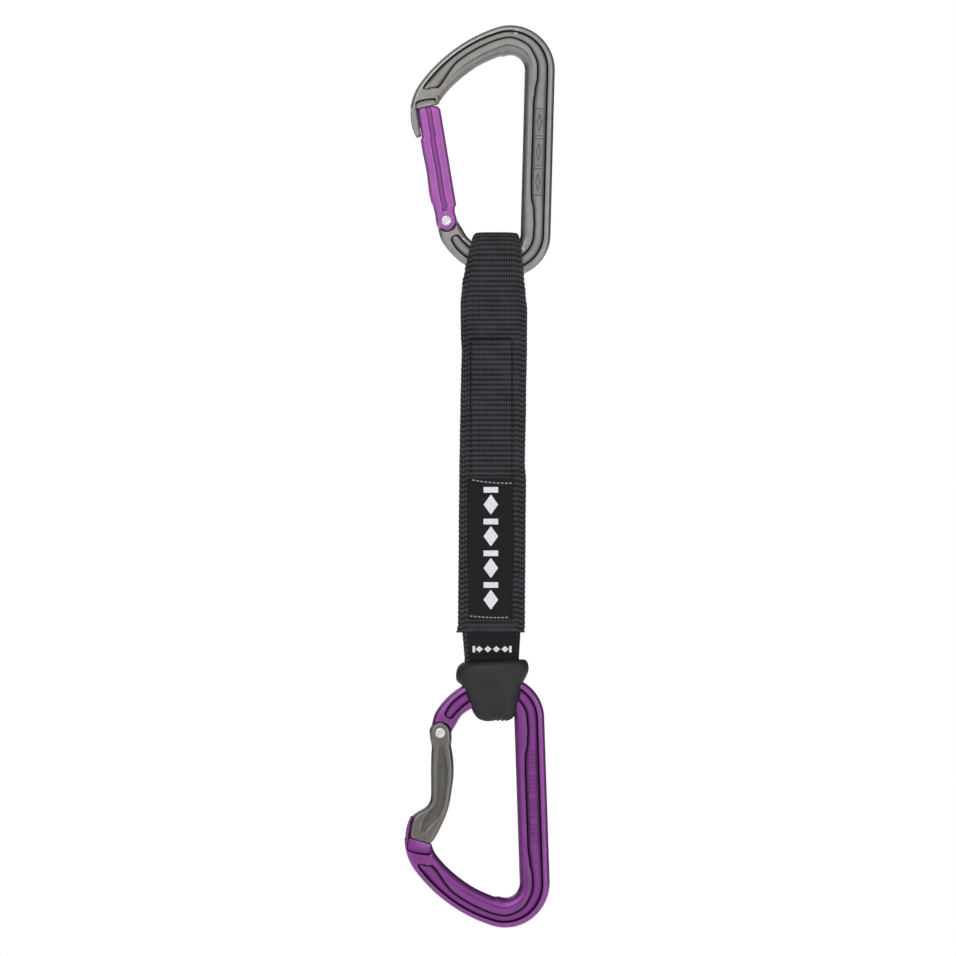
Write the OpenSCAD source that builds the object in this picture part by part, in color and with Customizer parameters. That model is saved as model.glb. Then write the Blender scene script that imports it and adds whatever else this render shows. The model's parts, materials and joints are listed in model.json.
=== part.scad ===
// Climbing quickdraw: two keylock carabiners joined by a sewn webbing sling.
// It hangs down from the origin, the seat of the upper carabiner on a bolt hanger.
// +Z is up and the spines are on the +X side. Each carabiner is drawn in its own
// flat plane (x across, y along the spine, z through its depth) and then stood up.

/* [Carabiner frames] */
// Outer edge of the spine, to the right of the seat
spine_x = 17.7; // [17:0.1:18.5]
// Where the spine starts, below the seat
spine_top = -6.1; // [-7:0.1:-5]
// Where the spine ends, below the seat
spine_end = -70.1; // [-71:0.1:-69]
// Width of the bar at the spine and the seats
bar_w = 11.3; // [11:0.1:11.6]
// Width of the bar towards the nose
nose_w = 10; // [9.6:0.1:10.4]
// Width of the bar towards the hinge
heel_w = 9; // [8.8:0.1:9.4]
// Depth of the bar, front to back
bar_depth = 9.6; // [9.2:0.2:10]
// Depth of the weight-saving channel in each face
channel_d = 1.9; // [1:0.1:2.2]
// Lean of the upper carabiner, in degrees
upper_lean = 1.5; // [0:0.1:2]
// Lean of the lower carabiner, in degrees
lower_lean = 1.9; // [0:0.1:2]

/* [Gates] */
// Width of the straight gate
gate_w = 9.5; // [9:0.1:9.8]
// Depth of both gates, front to back
gate_depth = 8.6; // [8.2:0.2:8.8]
// Straight gate, hinge to tip
gate_len = 45; // [44.5:0.1:45.5]
// Bent gate, hinge to tip
bent_len = 43; // [42.5:0.1:43.5]
// Lean of the straight gate away from the spine, in degrees
gate_lean = 11; // [10.5:0.1:11.5]
// How far each gate opens, in degrees
gate_open = 36; // [30:1:38]
// Radius of the rivet shaft
rivet_r = 1.36; // [1.3:0.02:1.5]
// Radius of the rivet head
rivet_head_r = 2; // [1.8:0.1:2.2]
// Radius of the plunger in the gate
plunger_r = 1.2; // [1.1:0.05:1.3]
// Offset of the plunger from the hinge, which sets its travel
cam_e = 1.2; // [1:0.1:1.4]

/* [Sling] */
// Width of the sewn body
sling_w = 25.7; // [25:0.1:26]
// Width of the webbing at both eyes
eye_w = 16; // [15:0.1:16.2]
// Thickness of one layer of webbing
web_t = 2.2; // [2:0.1:2.3]
// Thickness of the sewing thread as it stands proud
thread_t = 0.35; // [0.3:0.05:0.5]
// Pitch of the long stitch lines
stitch_pitch = 3.1; // [2.6:0.1:4]

/* [Labels and keeper] */
// Width of the large label
label_w = 17.6; // [16:0.1:19]
// Height of the large label
label_h = 55.2; // [50:0.2:56]
// Thickness of the label cloth
label_t = 0.5; // [0.4:0.1:0.6]
// Height of the small label round the neck
neck_label_h = 9.6; // [8:0.1:9.8]
// Depth of the rubber keeper, front to back
keeper_depth = 17.6; // [17.2:0.2:19]

/* [Hidden] */
$fn = 72;

// Arcs of the outer edge: radius and the angle where each one ends
crown_r = 17.1;
crown_end = 110;
shoulder_r = 60.3;
shoulder_end = 145;
nose_r = 20.3;
nose_end = 209;
base_r = 16.3;
base_end = -83.2;
heel_r = 28.4;
heel_end = -150;

function dir(a) = [cos(a), sin(a)];
crown_c = [spine_x - crown_r, spine_top];
shoulder_c = crown_c + (crown_r - shoulder_r) * dir(crown_end);
nose_c = shoulder_c + (shoulder_r - nose_r) * dir(shoulder_end);
base_c = [spine_x - base_r, spine_end];
heel_c = base_c + (base_r - heel_r) * dir(base_end);

half_d = bar_depth / 2;
step_a = 98;          // where the wide seat of the crown ends
bar_steps = [[0, half_d - 1.7], [0.45, half_d - 0.8], [1.3, half_d]]; // inset, half depth
pad_top = -74.7;      // flat seat for webbing in the basket
flange = 2.4;         // outer flange, beside the channel
channel_far = 4.8;    // far side of the channel on the arms
seat_far = 6.4;       // far side of the channel on the spine and the seats
channel_a = 154;      // closed end of the channel at the nose
channel_b = -142;     // closed end of the channel at the hinge

// Hinge
hinge = [-22.7, -65.6];
gate_clear = 0.2;     // gap between a gate and the nose
tip_gap = 1.2;        // gap above a gate's tip
tongue_t = 3.4;
ear_gap = 3.8;
tongue_r = 3.2;
ear_r = 4.3;
slot_floor = 5.1;     // where the ears join the gate
pin_bore_r = rivet_r + 0.06;
ear_bore_r = rivet_r - 0.01;
head_t = 0.6;
cam_y = 3.4;          // plunger contact above the hinge at rest
plunger_len = 7;
bore_r = plunger_r + 0.08;
bore_end = 26;
straight_edge = gate_w / 2;
bent_edge = 5.5;

// Keylock nose: a narrow neck and a wider key
key_w = 6.8;
key_neck_t = 3;
key_t = 5;
key_start = 152;
key_step = 180;
key_end = 199;
key_clear = 0.25;
key_room = 1.1;       // gap behind the key
pocket_h = 8.8;       // height of the gate's pocket for the key

// Sling, in the standing frame
bar_z = -80.5;
eye_x = [-13, -13 + eye_w];
eye_r = 7.6;
web_x = [-19.1, -19.1 + sling_w];
fold_z = -111.6;      // where the two layers are first sewn together
body_z = [-225.4, -113.2];
ply_gap = 0.3;        // half the gap between the two layers
face_y = ply_gap + web_t;
widen_z = -99;
neck_x = [-15.5, 2.5];
neck_z = [-235.4, body_z[0] - 0.2];
label_x = -16;
label_z = -220.4;
stitch_x = [-15.2, 1.2];
stitch_z = [-163, -114.5];

// Lower carabiner and keeper
lower_at = [-1.95, 0, -329.2];
low_bar_z = lower_at.z - bar_z;
low_eye_x = [-14.2, 1];
low_eye_y = half_d + 0.25;
low_eye_floor = low_bar_z - 6.3;
low_eye_top = -240.4;
keeper_floor = -259.6;
keeper_top = -236.9;
keeper_clear = 0.12;

function arc_pts(c, r, a0, a1, n) =
    [for (i = [0:n]) c + r * dir(a0 + (a1 - a0) * i / n)];

// Outline of the open frame, inset by d all round
function frame_outline(d) =
    let (
        rim = base_r - bar_w + d,
        heel_in = heel_r - heel_w + d,
        pad_y = pad_top - d,
        pad_a = -asin((base_c.y - pad_y) / rim),
        pad_b = asin((heel_c.y - pad_y) / heel_in) - 180
    )
    concat(
        arc_pts(crown_c, crown_r - d, 0, crown_end, 22),
        arc_pts(shoulder_c, shoulder_r - d, crown_end + 3, shoulder_end, 9),
        arc_pts(nose_c, nose_r - d, shoulder_end + 5, nose_end, 10),
        arc_pts(nose_c, nose_r - nose_w + d, nose_end, shoulder_end, 8),
        arc_pts(shoulder_c, shoulder_r - nose_w + d, shoulder_end - 4, crown_end, 8),
        [crown_c + (crown_r - nose_w + d) * dir(step_a)],
        arc_pts(crown_c, crown_r - bar_w + d, step_a, 0, 14),
        arc_pts(base_c, rim, 0, pad_a, 8),
        arc_pts(heel_c, heel_in, pad_b, heel_end, 6),
        arc_pts(heel_c, heel_r - d, heel_end, base_end, 13),
        arc_pts(base_c, base_r - d, base_end + 5, 0, 14)
    );

// The channel in one face follows the bar between two depths from its outer edge
function channel_outline(near, far, seat_far) =
    concat(
        arc_pts(crown_c, crown_r - near, 0, crown_end, 16),
        arc_pts(shoulder_c, shoulder_r - near, crown_end + 3, shoulder_end, 7),
        arc_pts(nose_c, nose_r - near, shoulder_end + 5, channel_a, 4),
        arc_pts(nose_c, nose_r - far, channel_a, shoulder_end, 4),
        arc_pts(shoulder_c, shoulder_r - far, shoulder_end - 4, crown_end, 7),
        arc_pts(crown_c, crown_r - seat_far, crown_end - 8, 0, 12),
        arc_pts(base_c, base_r - seat_far, 0, base_end, 10),
        arc_pts(heel_c, heel_r - far, base_end - 6, channel_b, 7),
        arc_pts(heel_c, heel_r - near, channel_b, base_end, 8),
        arc_pts(base_c, base_r - near, base_end + 5, 0, 11)
    );

// The forged bar: three nested slabs round its edges, and a channel in each face
module frame_bar()
    difference() {
        for (step = bar_steps)
            translate([0, 0, -step[1]])
                linear_extrude(2 * step[1]) polygon(frame_outline(step[0]));
        for (s = [0, 1]) mirror([0, 0, s])
            translate([0, 0, half_d - channel_d])
                linear_extrude(bar_depth) polygon(channel_outline(flange, channel_far, seat_far));
    }

// The space that the bar takes up, with clearance all round
module bar_space(clear)
    translate([0, 0, -half_d - clear])
        linear_extrude(2 * (half_d + clear)) polygon(frame_outline(-clear));

// A flat ring sector of depth t, from the outer edge inwards by w
module ring_plate(c, r, a0, a1, w, t)
    translate([c.x, c.y, 0])
        rotate([0, 0, a0])
            rotate_extrude(angle = a1 - a0)
                translate([r - w, -t / 2]) square([w, t]);

// The cam is the involute of a circle of radius cam_e, so the plunger's lift
// is cam_e times the angle that the gate has turned
function cam_point(a) =
    let (lift = cam_y + cam_e * a * PI / 180)
    [cam_e * cos(a) + lift * sin(a), lift * cos(a) - cam_e * sin(a)];

module tongue(lean) {
    cam_steps = 14;
    translate([hinge.x, hinge.y, -tongue_t / 2])
        linear_extrude(tongue_t)
            rotate(lean)
                union() {
                    circle(tongue_r);
                    polygon(concat(
                        [[0, 0], [0, tongue_r]],
                        [for (i = [-1:cam_steps]) cam_point(i * (gate_open + 4) / cam_steps)],
                        [[3.2, 0.4]]
                    ));
                }
    root_a = heel_end - 13;
    ring_plate(heel_c, heel_r - 0.4, root_a, heel_end + 4, heel_w - 1.4, tongue_t);
}

// Frame of one carabiner. lean turns the gate's hinge end, edge is the gate's
// half width at the nose and reach is its length.
module carabiner_frame(lean, edge, reach) {
    difference() {
        union() {
            difference() {
                frame_bar();
                nose_cut(edge, reach);
                hinge_cut();
            }
            ring_plate(nose_c, nose_r - 0.4, key_start, key_end, key_w - 0.4, key_neck_t);
            ring_plate(nose_c, nose_r - 0.4, key_step, key_end, key_w - 0.4, key_t);
            tongue(lean);
        }
        translate([hinge.x, hinge.y, -bar_depth])
            cylinder(h = 2 * bar_depth, r = pin_bore_r);
    }
}

// Room for the gate inside the nose
module nose_cut(edge, reach)
    translate([hinge.x, hinge.y, 0])
        rotate([0, 0, gate_lean])
            translate([-edge - gate_clear, 25, -bar_depth])
                cube([3 * edge, reach + tip_gap - 25, 2 * bar_depth]);

// Room for the gate's ears
module hinge_cut()
    translate([hinge.x, hinge.y, -bar_depth])
        cylinder(h = 2 * bar_depth, r = ear_r + 0.5);

module at_hinge(lean)
    translate([hinge.x, hinge.y, 0]) rotate([0, 0, lean]) children();

// Straight gate outline, hinge at the origin and tip at +y
module straight_outline() {
    tip_r = 2.4;
    side = gate_w / 2;
    foot = 4;
    polygon(concat(
        arc_pts([0, 0], ear_r, 180, 360, 24),
        [[side, foot]],
        arc_pts([side - tip_r, gate_len - tip_r], tip_r, 0, 90, 8),
        arc_pts([tip_r / 2 - side, gate_len - tip_r / 2], tip_r / 2, 90, 180, 5),
        [[-side, foot]]
    ));
}

// Bent gate outline: upright by the hinge, then curved over to the nose
module bent_outline() {
    bend_r = 50;
    bend_y = 13;
    inner_x = 4.6;
    head = [[-10.2, 30.6], [-7, 29.4], [-5, 27], [-4.3, 23.6], [-4.2, 13]];
    lip = function(y) [-edge_x(y), y];
    polygon(concat(
        arc_pts([0, 0], ear_r, 180, 360, 24),
        arc_pts([inner_x - bend_r, bend_y], bend_r, 0, 36, 12),
        [[-6.6, 42.6], [-12.6, 41.2], lip(39.6), lip(32.4)],
        head
    ));
}

// Where the bent gate's outer edge runs beside the nose, at height y
function edge_x(y) = bent_edge / cos(gate_lean) + y * tan(gate_lean);

// A gate's outline at its full depth
module gate_slab()
    translate([0, 0, -gate_depth / 2]) linear_extrude(gate_depth) children();

// Slots and bores that both gates have, in the gate's own frame
module gate_hollows() {
    translate([-10, -10, -ear_gap / 2]) cube([20, 10 + slot_floor, ear_gap]);
    translate([0, 0, -gate_depth]) cylinder(h = 2 * gate_depth, r = ear_bore_r);
    translate([cam_e, slot_floor - 1, 0])
        rotate([-90, 0, 0]) cylinder(h = bore_end - slot_floor + 1, r = bore_r);
}

// Room for the nose key, in the frame's plane
module key_pocket() {
    inner = nose_c.x - nose_r + key_w + key_room;
    top = nose_c.y + key_clear;
    low = nose_c.y - pocket_h;
    translate([inner - 20, low, -key_neck_t / 2 - key_clear])
        cube([20, 20, key_neck_t + 2 * key_clear]);
    translate([inner - 20, low, -key_t / 2 - key_clear])
        cube([20, top - low, key_t + 2 * key_clear]);
}

module straight_gate()
    difference() {
        at_hinge(gate_lean)
            difference() {
                gate_slab() straight_outline();
                gate_hollows();
            }
        key_pocket();
    }

module bent_gate()
    difference() {
        at_hinge(0)
            difference() {
                gate_slab() bent_outline();
                gate_hollows();
            }
        key_pocket();
    }

module rivet()
    translate([hinge.x, hinge.y, 0]) {
        translate([0, 0, -gate_depth / 2]) cylinder(h = gate_depth, r = rivet_r);
        for (s = [0, 1]) mirror([0, 0, s])
            translate([0, 0, gate_depth / 2]) rivet_head();
    }

module rivet_head() {
    cylinder(h = head_t / 2, r = rivet_head_r);
    translate([0, 0, head_t / 2])
        cylinder(h = head_t / 2, r1 = rivet_head_r, r2 = rivet_head_r - 0.5);
}

// Plunger: flat foot on the cam, and a stem that the spring fits over
module plunger(lean)
    at_hinge(lean)
        translate([cam_e, cam_y + 0.03, 0])
            rotate([-90, 0, 0]) {
                cylinder(h = plunger_len, r = plunger_r);
                translate([0, 0, plunger_len]) cylinder(h = 3, r = plunger_r / 2);
            }

// A coil of round wire, swept along its own helix as one closed solid
module coil(radius, wire_r, pitch, turns) {
    sides = 6;
    per_turn = 12;
    rings = turns * per_turn;
    function ring_pt(i, j) =
        let (
            a = 360 * i / per_turn,
            b = 360 * j / sides,
            r = radius + wire_r * cos(b)
        )
        [r * cos(a), r * sin(a), pitch * i / per_turn + wire_r * sin(b)];
    points = [for (i = [0:rings], j = [0:sides - 1]) ring_pt(i, j)];
    walls = [for (i = [0:rings - 1], j = [0:sides - 1])
        let (k = (j + 1) % sides)
        [i * sides + j, i * sides + k, (i + 1) * sides + k, (i + 1) * sides + j]];
    first = [for (j = [sides - 1:-1:0]) j];
    last = [for (j = [0:sides - 1]) rings * sides + j];
    polyhedron(points, concat(walls, [first, last]), convexity = 10);
}

module gate_spring(lean) {
    wire_r = 0.2;
    turns = 10;
    foot = cam_y + 0.03 + plunger_len + wire_r + 0.05;
    room = bore_end - foot - wire_r - 0.05;
    at_hinge(lean)
        translate([cam_e, foot, 0])
            rotate([-90, 0, 0])
                coil(plunger_r - wire_r - 0.05, wire_r, room / turns, turns);
}

module stand_upper()
    rotate([0, upper_lean, 0]) rotate([90, 0, 0]) children();

module stand_lower()
    translate(lower_at) rotate([0, -lower_lean, 0]) rotate([90, 0, 0]) mirror([0, 1, 0]) children();

module upper_frame()
    color("#8f8a83") stand_upper() carabiner_frame(gate_lean, straight_edge, gate_len);

module upper_gate()
    color("#b064b8") stand_upper() straight_gate();

module upper_rivet()
    color("#d8d8d8") stand_upper() rivet();

module upper_plunger()
    color("#c8c8c8") stand_upper() plunger(gate_lean);

module upper_spring()
    color("#b0b0b0") stand_upper() gate_spring(gate_lean);

module lower_frame()
    color("#74386f") stand_lower() carabiner_frame(0, bent_edge, bent_len);

module lower_gate()
    color("#7c7873") stand_lower() bent_gate();

module lower_rivet()
    color("#d8d8d8") stand_lower() rivet();

module lower_plunger()
    color("#c8c8c8") stand_lower() plunger(0);

module lower_spring()
    color("#b0b0b0") stand_lower() gate_spring(0);

// Extrudes a side view, drawn as [depth, height], across x0 to x1
module across(x0, x1)
    translate([x0, 0, 0]) rotate([90, 0, 90]) linear_extrude(x1 - x0) children();

// Extrudes a front view, drawn as [x, height], through the depth d
module through(d)
    translate([0, d / 2, 0]) rotate([90, 0, 0]) linear_extrude(d) children();

// Side view of the loop over the bar, whose two legs meet at fold_z
module loop_side() {
    part_z = fold_z + 2;
    outer = concat(
        [[face_y, fold_z], [face_y, part_z]],
        arc_pts([0, bar_z], eye_r + web_t, 0, 180, 32),
        [[-face_y, part_z], [-face_y, fold_z]]
    );
    inner = concat(
        [[ply_gap, fold_z - 1], [ply_gap, part_z]],
        arc_pts([0, bar_z], eye_r, 0, 180, 32),
        [[-ply_gap, part_z], [-ply_gap, fold_z - 1]]
    );
    difference() {
        polygon(outer);
        polygon(inner);
    }
}

module sling_top_eye()
    color("#46464a")
        intersection() {
            across(web_x[0] - 1, web_x[1] + 1) loop_side();
            through(40) polygon([
                [web_x[0], fold_z], [web_x[1], fold_z], [web_x[1], widen_z],
                [eye_x[1], bar_z - 5], [eye_x[1], bar_z + 15],
                [eye_x[0], bar_z + 15], [eye_x[0], bar_z - 5], [web_x[0], widen_z]
            ]);
        }

// One sewn layer of the body, on the front (side = -1) or the back (side = 1)
module layer(side)
    translate([web_x[0], side < 0 ? -face_y : ply_gap, body_z[0]])
        cube([sling_w, web_t, body_z[1] - body_z[0]]);

module sling_front_layer() color("#4a4a4e") layer(-1);

module sling_back_layer() color("#424246") layer(1);

// One stitch lying on the front or the back face
module stitch(x, z, w, h)
    for (y = [-face_y - thread_t, face_y])
        translate([x - w / 2, y, z - h / 2]) cube([w, thread_t, h]);

module top_bar_tack()
    color("#2a2a2c") {
        n = 14;
        for (i = [0:n - 1])
            stitch(stitch_x[0] + (i + 0.5) * (stitch_x[1] - stitch_x[0]) / n, fold_z + 0.6, 0.8, 0.7);
    }

module side_stitching()
    color("#2a2a2c")
        for (x = stitch_x, z = [stitch_z[0]:stitch_pitch:stitch_z[1]])
            stitch(x, z, 0.7, stitch_pitch * 0.72);

module sling_neck()
    color("#3c3c40")
        translate([neck_x[0], -face_y, neck_z[0]])
            cube([neck_x[1] - neck_x[0], 2 * face_y, neck_z[1] - neck_z[0]]);

module large_label()
    color("#1e1e20")
        translate([label_x, -face_y - label_t, label_z]) cube([label_w, label_t, label_h]);

module large_label_stitching()
    color("#a9a9ac") {
        n = 13;
        side = 1;
        pitch = (label_w - 2 * side) / n;
        for (z = [label_z + 0.8, label_z + label_h - 0.8], i = [0:n - 1])
            translate([label_x + side + (i + 0.12) * pitch, -face_y - label_t - thread_t, z - 0.3])
                cube([pitch * 0.76, thread_t, 0.6]);
    }

module small_label()
    color("#19191b")
        translate([0, 0, neck_z[1] - neck_label_h])
            linear_extrude(neck_label_h)
                difference() {
                    translate([neck_x[0] - label_t, -face_y - label_t])
                        square([neck_x[1] - neck_x[0] + 2 * label_t, 2 * (face_y + label_t)]);
                    translate([neck_x[0], -face_y])
                        square([neck_x[1] - neck_x[0], 2 * face_y]);
                }

// Side view of the webbing under the lower bar, open at the top
module low_loop_side(grow = 0) {
    out_y = low_eye_y + web_t + grow;
    floor_z = low_eye_floor - web_t - grow;
    r = 4.5;
    polygon(concat(
        [[face_y + grow, low_eye_top + 4 * grow], [out_y, low_bar_z + 3]],
        arc_pts([out_y - r, floor_z + r], r, 0, -90, 8),
        arc_pts([r - out_y, floor_z + r], r, -90, -180, 8),
        [[-out_y, low_bar_z + 3], [-face_y - grow, low_eye_top + 4 * grow]]
    ));
}

module low_loop_inside() {
    r = 3.2;
    polygon(concat(
        [[ply_gap, low_eye_top + 1], [ply_gap, low_eye_top], [low_eye_y, low_bar_z + 6.6]],
        arc_pts([low_eye_y - r, low_eye_floor + r], r, 0, -90, 6),
        arc_pts([r - low_eye_y, low_eye_floor + r], r, -90, -180, 6),
        [[-low_eye_y, low_bar_z + 6.6], [-ply_gap, low_eye_top], [-ply_gap, low_eye_top + 1]]
    ));
}

module sling_lower_eye()
    color("#3a3a3e")
        difference() {
            across(low_eye_x[0], low_eye_x[1])
                difference() {
                    low_loop_side();
                    low_loop_inside();
                }
            stand_lower() bar_space(keeper_clear);
        }

// Moulded keeper: a tapered rubber cup round the webbing, open for the bar
module rubber_keeper()
    color("#3e3e40")
        difference() {
            intersection() {
                through(keeper_depth) keeper_front();
                across(web_x[0] - 4, web_x[1] + 4) keeper_side();
            }
            across(low_eye_x[0] - keeper_clear, low_eye_x[1] + keeper_clear)
                union() {
                    low_loop_side(keeper_clear);
                    translate([-face_y - 1.2, low_eye_top - 2]) square([2 * face_y + 2.4, 12]);
                }
            stand_lower() bar_space(keeper_clear);
        }

module keeper_front()
    polygon([
        [-18.4, keeper_top], [-20.4, -239.4], [-20.4, -244.2], [-14.6, -255.6],
        [-12.4, -258.8], [-5.4, keeper_floor], [0.4, -258.4], [2.8, -256.2],
        [5.8, -243.6], [7.6, -240.4], [6.8, keeper_top]
    ]);

module keeper_side() {
    half = keeper_depth / 2;
    r = 6;
    polygon(concat(
        [[half - 1.6, keeper_top], [half, keeper_top - 3]],
        arc_pts([half - r, keeper_floor + r], r, 0, -90, 8),
        arc_pts([r - half, keeper_floor + r], r, -90, -180, 8),
        [[-half, keeper_top - 3], [1.6 - half, keeper_top]]
    ));
}

upper_frame();
upper_gate();
upper_rivet();
upper_plunger();
upper_spring();
lower_frame();
lower_gate();
lower_rivet();
lower_plunger();
lower_spring();
sling_top_eye();
top_bar_tack();
sling_front_layer();
sling_back_layer();
side_stitching();
sling_neck();
large_label();
large_label_stitching();
small_label();
sling_lower_eye();
rubber_keeper();
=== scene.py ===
# Visual model of a climbing quickdraw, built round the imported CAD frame.
# Sizes are in millimetres until a mesh is made. A carabiner is drawn in its own flat
# plane (x across, y along the spine, z towards the viewer) and then stood up.
import json
import math

import bmesh
import bpy
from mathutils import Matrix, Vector


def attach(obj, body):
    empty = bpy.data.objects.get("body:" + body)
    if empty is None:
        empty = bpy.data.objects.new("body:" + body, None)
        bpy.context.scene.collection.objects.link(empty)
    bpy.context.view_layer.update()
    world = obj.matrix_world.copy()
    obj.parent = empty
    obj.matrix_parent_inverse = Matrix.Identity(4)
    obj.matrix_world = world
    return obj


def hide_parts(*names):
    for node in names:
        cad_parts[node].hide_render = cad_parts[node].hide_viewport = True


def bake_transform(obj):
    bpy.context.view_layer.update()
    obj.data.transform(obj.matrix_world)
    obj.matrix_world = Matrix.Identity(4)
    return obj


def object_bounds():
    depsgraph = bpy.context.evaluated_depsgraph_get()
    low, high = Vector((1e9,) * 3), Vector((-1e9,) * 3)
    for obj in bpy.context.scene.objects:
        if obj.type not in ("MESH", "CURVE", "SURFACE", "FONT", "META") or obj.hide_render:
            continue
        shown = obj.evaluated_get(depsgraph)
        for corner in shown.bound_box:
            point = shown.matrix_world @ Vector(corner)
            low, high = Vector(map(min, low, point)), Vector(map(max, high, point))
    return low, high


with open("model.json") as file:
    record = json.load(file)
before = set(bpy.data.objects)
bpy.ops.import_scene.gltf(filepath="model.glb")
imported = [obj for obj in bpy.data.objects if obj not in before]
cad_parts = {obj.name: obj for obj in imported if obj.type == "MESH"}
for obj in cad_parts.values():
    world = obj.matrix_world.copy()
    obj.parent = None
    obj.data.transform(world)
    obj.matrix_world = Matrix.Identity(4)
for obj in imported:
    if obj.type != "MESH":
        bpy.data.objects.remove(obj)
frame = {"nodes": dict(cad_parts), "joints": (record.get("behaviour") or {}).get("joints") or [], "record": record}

cad_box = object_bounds()

MM = 0.001
joints = {j["name"]: j for j in frame["joints"]}
mounts = {m["name"]: m for m in frame["record"]["mounts"]}


# ---------------------------------------------------------------- helpers

def smooth(t):
    t = min(max(t, 0.0), 1.0)
    return t * t * (3 - 2 * t)


def blend_between(knots, x):
    """Value at x of a smooth curve through (x, value) knots."""
    if x <= knots[0][0]:
        return knots[0][1]
    for (x0, v0), (x1, v1) in zip(knots, knots[1:]):
        if x <= x1:
            return v0 + (v1 - v0) * smooth((x - x0) / (x1 - x0))
    return knots[-1][1]


def linear_between(knots, x):
    """Value at x of straight lines through (x, value) knots in rising x."""
    for (x0, v0), (x1, v1) in zip(knots, knots[1:]):
        if x <= x1:
            return v0 + (v1 - v0) * max(x - x0, 0) / (x1 - x0)
    return knots[-1][1]


def polar(centre, r, degrees):
    a = math.radians(degrees)
    return (centre[0] + r * math.cos(a), centre[1] + r * math.sin(a))


def spread(a, b, n):
    """n + 1 evenly spaced values from a to b."""
    return [a + (b - a) * i / n for i in range(n + 1)]


def mesh_piece(name, points, faces, materials, smooth_angle=40, marks=None):
    """A mesh object from points in millimetres. marks gives a number or a vector per point."""
    mesh = bpy.data.meshes.new(name)
    mesh.from_pydata([Vector(p) * MM for p in points], [], faces)
    for mark, values in (marks or {}).items():
        single = not isinstance(values[0], tuple)
        layer = mesh.attributes.new(mark, "FLOAT" if single else "FLOAT_VECTOR", "POINT")
        flat = values if single else [v for value in values for v in value]
        layer.data.foreach_set("value" if single else "vector", flat)
    mesh.validate()
    bm = bmesh.new()
    bm.from_mesh(mesh)
    bmesh.ops.remove_doubles(bm, verts=bm.verts, dist=1e-7)
    bmesh.ops.recalc_face_normals(bm, faces=bm.faces)
    bm.to_mesh(mesh)
    bm.free()
    for material in materials:
        mesh.materials.append(material)
    piece = bpy.data.objects.new(name, mesh)
    bpy.context.scene.collection.objects.link(piece)
    shade(piece, smooth_angle)
    return piece


def shade(piece, angle=40):
    mesh = piece.data
    mesh.polygons.foreach_set("use_smooth", [True] * len(mesh.polygons))
    if hasattr(mesh, "set_sharp_from_angle"):
        mesh.set_sharp_from_angle(angle=math.radians(angle))


def loft(loops, closed=False):
    """Points and faces of a tube through equal-length closed loops."""
    n = len(loops[0])
    points = [p for loop in loops for p in loop]
    faces = []
    rows = len(loops)
    for i in range(rows if closed else rows - 1):
        a, b = i * n, (i + 1) % rows * n
        for j in range(n):
            k = (j + 1) % n
            faces.append((a + j, a + k, b + k, b + j))
    if not closed:
        faces.append(tuple(range(n - 1, -1, -1)))
        faces.append(tuple(range((rows - 1) * n, rows * n)))
    return points, faces


def join_parts(parts):
    """Several (points, faces) as one."""
    points, faces = [], []
    for p, f in parts:
        base = len(points)
        points += p
        faces += [tuple(base + i for i in face) for face in f]
    return points, faces


def boolean(piece, tool, operation):
    """Cuts or joins piece with tool, and removes tool."""
    mod = piece.modifiers.new("cut", "BOOLEAN")
    mod.operation = operation
    mod.solver = "EXACT"
    mod.object = tool
    bpy.context.view_layer.update()
    graph = bpy.context.evaluated_depsgraph_get()
    made = bpy.data.meshes.new_from_object(piece.evaluated_get(graph))
    piece.modifiers.clear()
    piece.data = made
    bpy.data.objects.remove(tool)
    shade(piece)


# ---------------------------------------------------------------- standing frames

def stand(lean, at, flip):
    """Turns a carabiner's plane upright: lean in degrees, at in millimetres."""
    a = math.radians(-lean if flip else lean)

    def place(p):
        x, y, z = p
        if flip:
            y = -y
        return (
            x * math.cos(a) + y * math.sin(a) + at[0],
            -z + at[1],
            -x * math.sin(a) + y * math.cos(a) + at[2],
        )

    return place


def lean_of(axis):
    return math.degrees(math.asin(axis[0]))


HINGE = (-22.7, -65.6)  # gate hinge in the carabiner's plane
upper_hinge = [v / MM for v in joints["upper_gate_hinge"]["pos_m"]]
rope_seat = [v / MM for v in mounts["rope_seat"]["pos_m"]]
LOWER_LEAN = lean_of(mounts["rope_seat"]["axis"])
UPPER_LEAN = math.degrees(math.atan2(upper_hinge[0], upper_hinge[2]) - math.atan2(*HINGE))

stand_upper = stand(UPPER_LEAN, (0, 0, 0), False)
stand_lower = stand(LOWER_LEAN, rope_seat, True)


# ---------------------------------------------------------------- materials

def new_material(name):
    material = bpy.data.materials.new(name)
    material.use_nodes = True
    tree = material.node_tree
    return material, tree, tree.nodes["Principled BSDF"]


def add_node(tree, kind, **values):
    n = tree.nodes.new(kind)
    for key, value in values.items():
        if key in n.inputs:
            n.inputs[key].default_value = value
        else:
            setattr(n, key, value)
    return n


def coordinates(tree, scale):
    """Object coordinates stretched by scale per axis, so a pattern keeps its real size."""
    source = add_node(tree, "ShaderNodeTexCoord")
    mapping = add_node(tree, "ShaderNodeMapping")
    mapping.inputs["Scale"].default_value = scale
    tree.links.new(source.outputs["Object"], mapping.inputs["Vector"])
    return mapping.outputs["Vector"]


def ramp(tree, fac, stops):
    n = add_node(tree, "ShaderNodeValToRGB")
    while len(n.color_ramp.elements) < len(stops):
        n.color_ramp.elements.new(0.5)
    for element, (place, colour) in zip(n.color_ramp.elements, stops):
        element.position = place
        element.color = (*colour, 1)
    tree.links.new(fac, n.inputs["Fac"])
    return n.outputs["Color"]


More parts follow.
